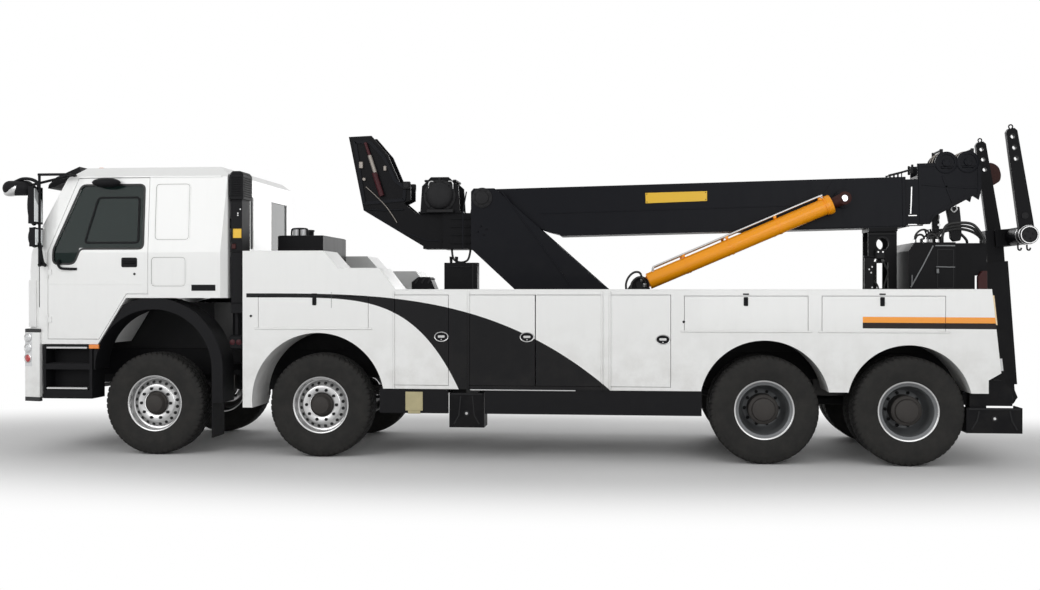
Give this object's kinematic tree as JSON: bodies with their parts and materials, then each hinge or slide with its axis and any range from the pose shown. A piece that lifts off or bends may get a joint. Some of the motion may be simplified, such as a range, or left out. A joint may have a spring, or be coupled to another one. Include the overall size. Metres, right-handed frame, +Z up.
{
  "type": "heavy tow truck",
  "caption": "Heavy cab-over tow truck with locker bodies, a lifting telescopic boom on a column and a folding underlift at the tail.",
  "frame": {"origin": "on the ground under the middle of the vehicle's box", "axes": "the truck faces -Y, +X is its left side, +Z is up"},
  "size_m": [2.83, 10.8256, 3.4798],
  "materials": {
    "white_paint": "gloss",
    "frame_black": "satin",
    "deck_black": "satin",
    "orange_paint": "gloss",
    "rod_chrome": "polished",
    "cast_grey": "matte",
    "spring_steel": "satin",
    "black_plastic": "matte",
    "cab_trim": "matte",
    "glass": "polished",
    "lamp_glass": "gloss",
    "tyre": "matte"
  },
  "bodies": {
    "chassis": {"chassis_frame": "frame_black", "axles": "cast_grey", "leaf_springs": "spring_steel", "powertrain": "cast_grey", "cab_shell": "white_paint", "cab_glass": "glass", "cab_interior": "cab_trim", "cab_front_trim": "black_plastic", "front_bumper": "white_paint", "lamps": "lamp_glass", "mirrors": "black_plastic", "steps_and_guards": "black_plastic", "air_intake": "black_plastic", "locker_bodies": "white_paint", "deck": "deck_black", "boom_column": "deck_black", "winch_frame": "deck_black", "oil_tank": "deck_black", "underlift_mast": "deck_black"},
    "boom": {"boom": "deck_black"},
    "boom_stage": {"boom_stage": "deck_black"},
    "lift_barrels": {"lift_barrels": "orange_paint"},
    "lift_rods": {"lift_rods": "rod_chrome"},
    "underlift_carriage": {"underlift_carriage": "deck_black"},
    "underlift_arm": {"underlift_arm": "deck_black"},
    "underlift_crossbar": {"underlift_crossbar": "deck_black"},
    "knuckle_1_left": {"knuckle_1_left": "cast_grey"},
    "wheel_1_left": {"wheel_1_left": "tyre"},
    "knuckle_2_left": {"knuckle_2_left": "cast_grey"},
    "wheel_2_left": {"wheel_2_left": "tyre"},
    "wheel_3_left": {"wheel_3_left": "tyre"},
    "wheel_4_left": {"wheel_4_left": "tyre"},
    "cab_door_left": {"cab_door_left": "white_paint", "cab_door_glass_left": "glass"},
    "front_jack_left": {"front_jack_left": "deck_black"},
    "rear_jack_left": {"rear_jack_left": "deck_black"},
    "locker_door_one_left": {"locker_door_one_left": "white_paint"},
    "locker_door_two_left": {"locker_door_two_left": "white_paint"},
    "locker_door_three_left": {"locker_door_three_left": "white_paint"},
    "locker_door_four_left": {"locker_door_four_left": "white_paint"},
    "locker_door_five_left": {"locker_door_five_left": "white_paint"},
    "locker_door_six_left": {"locker_door_six_left": "white_paint"},
    "locker_door_seven_left": {"locker_door_seven_left": "white_paint"},
    "knuckle_1_right": {"knuckle_1_right": "cast_grey"},
    "wheel_1_right": {"wheel_1_right": "tyre"},
    "knuckle_2_right": {"knuckle_2_right": "cast_grey"},
    "wheel_2_right": {"wheel_2_right": "tyre"},
    "wheel_3_right": {"wheel_3_right": "tyre"},
    "wheel_4_right": {"wheel_4_right": "tyre"},
    "cab_door_right": {"cab_door_right": "white_paint", "cab_door_glass_right": "glass"},
    "front_jack_right": {"front_jack_right": "deck_black"},
    "rear_jack_right": {"rear_jack_right": "deck_black"},
    "locker_door_one_right": {"locker_door_one_right": "white_paint"},
    "locker_door_two_right": {"locker_door_two_right": "white_paint"},
    "locker_door_three_right": {"locker_door_three_right": "white_paint"},
    "locker_door_four_right": {"locker_door_four_right": "white_paint"},
    "locker_door_five_right": {"locker_door_five_right": "white_paint"},
    "locker_door_six_right": {"locker_door_six_right": "white_paint"},
    "locker_door_seven_right": {"locker_door_seven_right": "white_paint"}
  },
  "joints": [
    {"name": "steer_1_left", "type": "hinge", "parent": "chassis", "child": "knuckle_1_left", "pos_m": [0.85, -3.76299, 0.542], "axis": [0, 0, 1], "range_deg": [-35, 35]},
    {"name": "spin_1_left", "type": "hinge", "parent": "knuckle_1_left", "child": "wheel_1_left", "pos_m": [1.01, -3.76299, 0.542], "axis": [1, 0, 0], "continuous": true},
    {"name": "steer_2_left", "type": "hinge", "parent": "chassis", "child": "knuckle_2_left", "pos_m": [0.85, -1.96299, 0.542], "axis": [0, 0, 1], "range_deg": [-26, 26]},
    {"name": "spin_2_left", "type": "hinge", "parent": "knuckle_2_left", "child": "wheel_2_left", "pos_m": [1.01, -1.96299, 0.542], "axis": [1, 0, 0], "continuous": true},
    {"name": "spin_3_left", "type": "hinge", "parent": "chassis", "child": "wheel_3_left", "pos_m": [0.91, 2.58701, 0.542], "axis": [1, 0, 0], "continuous": true},
    {"name": "spin_4_left", "type": "hinge", "parent": "chassis", "child": "wheel_4_left", "pos_m": [0.91, 3.98701, 0.542], "axis": [1, 0, 0], "continuous": true},
    {"name": "open_cab_door_left", "type": "hinge", "parent": "chassis", "child": "cab_door_left", "pos_m": [1.211, -4.91799, 1.7], "axis": [0, 0, -1], "range_deg": [0, 70]},
    {"name": "lower_front_jack_left", "type": "slide", "parent": "chassis", "child": "front_jack_left", "axis": [0, 0, -1], "range_m": [0, 0.33]},
    {"name": "lower_rear_jack_left", "type": "slide", "parent": "chassis", "child": "rear_jack_left", "axis": [0, 0, -1], "range_m": [0, 0.33]},
    {"name": "open_locker_door_one_left", "type": "hinge", "parent": "chassis", "child": "locker_door_one_left", "pos_m": [1.2595, -2.01299, 1.345], "axis": [0, 1, 0], "range_deg": [0, 90]},
    {"name": "open_locker_door_two_left", "type": "hinge", "parent": "chassis", "child": "locker_door_two_left", "pos_m": [1.2595, -1.16299, 1.23], "axis": [0, 0, -1], "range_deg": [0, 90]},
    {"name": "open_locker_door_three_left", "type": "hinge", "parent": "chassis", "child": "locker_door_three_left", "pos_m": [1.2595, -0.38799, 1.23], "axis": [0, 0, -1], "range_deg": [0, 90]},
    {"name": "open_locker_door_four_left", "type": "hinge", "parent": "chassis", "child": "locker_door_four_left", "pos_m": [1.2595, 0.97201, 1.23], "axis": [0, 0, 1], "range_deg": [0, 90]},
    {"name": "open_locker_door_five_left", "type": "hinge", "parent": "chassis", "child": "locker_door_five_left", "pos_m": [1.2595, 1.05201, 1.23], "axis": [0, 0, -1], "range_deg": [0, 90]},
    {"name": "open_locker_door_six_left", "type": "hinge", "parent": "chassis", "child": "locker_door_six_left", "pos_m": [1.2595, 2.40201, 1.33], "axis": [0, 1, 0], "range_deg": [0, 90]},
    {"name": "open_locker_door_seven_left", "type": "hinge", "parent": "chassis", "child": "locker_door_seven_left", "pos_m": [1.2595, 3.73701, 1.33], "axis": [0, 1, 0], "range_deg": [0, 90]},
    {"name": "steer_1_right", "type": "hinge", "parent": "chassis", "child": "knuckle_1_right", "pos_m": [-0.85, -3.76299, 0.542], "axis": [0, 0, 1], "range_deg": [-35, 35]},
    {"name": "spin_1_right", "type": "hinge", "parent": "knuckle_1_right", "child": "wheel_1_right", "pos_m": [-1.01, -3.76299, 0.542], "axis": [1, 0, 0], "continuous": true},
    {"name": "steer_2_right", "type": "hinge", "parent": "chassis", "child": "knuckle_2_right", "pos_m": [-0.85, -1.96299, 0.542], "axis": [0, 0, 1], "range_deg": [-26, 26]},
    {"name": "spin_2_right", "type": "hinge", "parent": "knuckle_2_right", "child": "wheel_2_right", "pos_m": [-1.01, -1.96299, 0.542], "axis": [1, 0, 0], "continuous": true},
    {"name": "spin_3_right", "type": "hinge", "parent": "chassis", "child": "wheel_3_right", "pos_m": [-0.91, 2.58701, 0.542], "axis": [1, 0, 0], "continuous": true},
    {"name": "spin_4_right", "type": "hinge", "parent": "chassis", "child": "wheel_4_right", "pos_m": [-0.91, 3.98701, 0.542], "axis": [1, 0, 0], "continuous": true},
    {"name": "open_cab_door_right", "type": "hinge", "parent": "chassis", "child": "cab_door_right", "pos_m": [-1.211, -4.91799, 1.7], "axis": [0, 0, 1], "range_deg": [0, 70]},
    {"name": "lower_front_jack_right", "type": "slide", "parent": "chassis", "child": "front_jack_right", "axis": [0, 0, -1], "range_m": [0, 0.33]},
    {"name": "lower_rear_jack_right", "type": "slide", "parent": "chassis", "child": "rear_jack_right", "axis": [0, 0, -1], "range_m": [0, 0.33]},
    {"name": "open_locker_door_one_right", "type": "hinge", "parent": "chassis", "child": "locker_door_one_right", "pos_m": [-1.2595, -2.01299, 1.345], "axis": [0, -1, 0], "range_deg": [0, 90]},
    {"name": "open_locker_door_two_right", "type": "hinge", "parent": "chassis", "child": "locker_door_two_right", "pos_m": [-1.2595, -1.16299, 1.23], "axis": [0, 0, 1], "range_deg": [0, 90]},
    {"name": "open_locker_door_three_right", "type": "hinge", "parent": "chassis", "child": "locker_door_three_right", "pos_m": [-1.2595, -0.38799, 1.23], "axis": [0, 0, 1], "range_deg": [0, 90]},
    {"name": "open_locker_door_four_right", "type": "hinge", "parent": "chassis", "child": "locker_door_four_right", "pos_m": [-1.2595, 0.97201, 1.23], "axis": [0, 0, -1], "range_deg": [0, 90]},
    {"name": "open_locker_door_five_right", "type": "hinge", "parent": "chassis", "child": "locker_door_five_right", "pos_m": [-1.2595, 1.05201, 1.23], "axis": [0, 0, 1], "range_deg": [0, 90]},
    {"name": "open_locker_door_six_right", "type": "hinge", "parent": "chassis", "child": "locker_door_six_right", "pos_m": [-1.2595, 2.40201, 1.33], "axis": [0, -1, 0], "range_deg": [0, 90]},
    {"name": "open_locker_door_seven_right", "type": "hinge", "parent": "chassis", "child": "locker_door_seven_right", "pos_m": [-1.2595, 3.73701, 1.33], "axis": [0, -1, 0], "range_deg": [0, 90]},
    {"name": "raise_boom", "type": "hinge", "parent": "chassis", "child": "boom", "pos_m": [0, -0.37799, 2.76], "axis": [1, 0, 0], "range_deg": [0, 50]},
    {"name": "extend_boom", "type": "slide", "parent": "boom", "child": "boom_stage", "axis": [0, 0.9998, 0.0209], "range_m": [0, 1.8]},
    {"name": "tilt_lift_barrels", "type": "hinge", "parent": "chassis", "child": "lift_barrels", "pos_m": [0, 1.35701, 1.8], "axis": [1, 0, 0], "range_deg": [0, 55.41]},
    {"name": "extend_lift_rods", "type": "slide", "parent": "lift_barrels", "child": "lift_rods", "axis": [0, 0.92, 0.3919], "range_m": [0, 1.652]},
    {"name": "lift_underlift", "type": "slide", "parent": "chassis", "child": "underlift_carriage", "axis": [0, 0, 1], "range_m": [-0.25, 0.45]},
    {"name": "unfold_underlift", "type": "hinge", "parent": "underlift_carriage", "child": "underlift_arm", "pos_m": [0, 5.25301, 0.6], "axis": [-1, 0, 0], "range_deg": [0, 96]},
    {"name": "extend_underlift", "type": "slide", "parent": "underlift_arm", "child": "underlift_crossbar", "axis": [0, -0.0732, 0.9973], "range_m": [0, 0.8]}
  ],
  "couplings": [
    {"joint": "steer_2_left", "follows": "steer_1_left", "ratio": 0.74286},
    {"joint": "steer_1_right", "follows": "steer_1_left", "ratio": 1},
    {"joint": "steer_2_right", "follows": "steer_1_left", "ratio": 0.74286},
    {"joint": "tilt_lift_barrels", "follows": "raise_boom", "ratio": 1.108},
    {"joint": "extend_lift_rods", "follows": "raise_boom", "m_per_rad": 1.8919}
  ]
}
